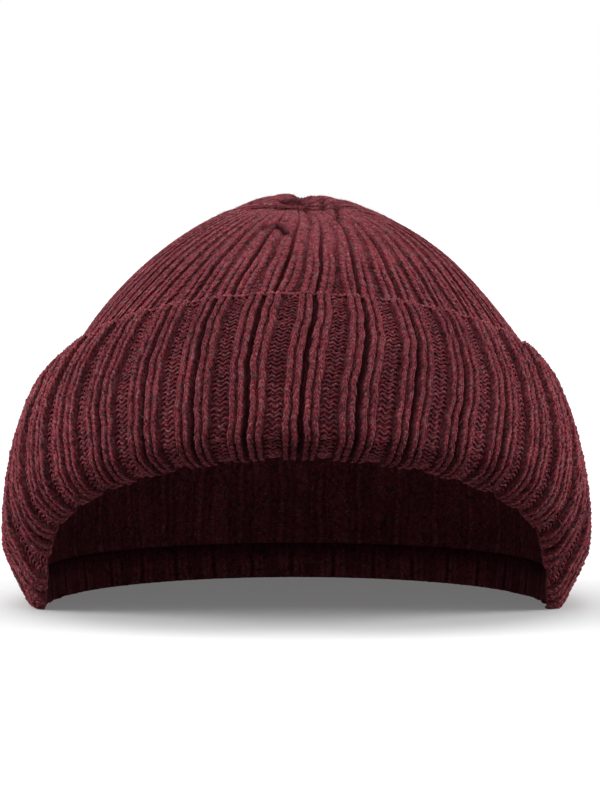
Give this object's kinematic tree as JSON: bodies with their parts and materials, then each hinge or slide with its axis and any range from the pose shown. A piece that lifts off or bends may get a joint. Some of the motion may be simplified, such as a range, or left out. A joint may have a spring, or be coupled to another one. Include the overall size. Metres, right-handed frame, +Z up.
{
  "type": "fisherman beanie",
  "caption": "Chunky rib-knit wool beanie with a gathered dome crown and a deep turned-up cuff, resting with its front edge arched up.",
  "frame": {"origin": "on the surface that the hat rests on, under the middle of its bounding box", "axes": "+Z up, -Y towards the front of the hat, where the edge is arched up, +X to the right of the front view"},
  "size_m": [0.1868, 0.22, 0.1302],
  "materials": {
    "crown_knit": "matt heather burgundy wool, rib knit",
    "cuff_knit": "matt heather burgundy wool, rib knit"
  },
  "bodies": {
    "root": {"crown": "crown_knit", "cuff": "cuff_knit"}
  },
  "joints": []
}
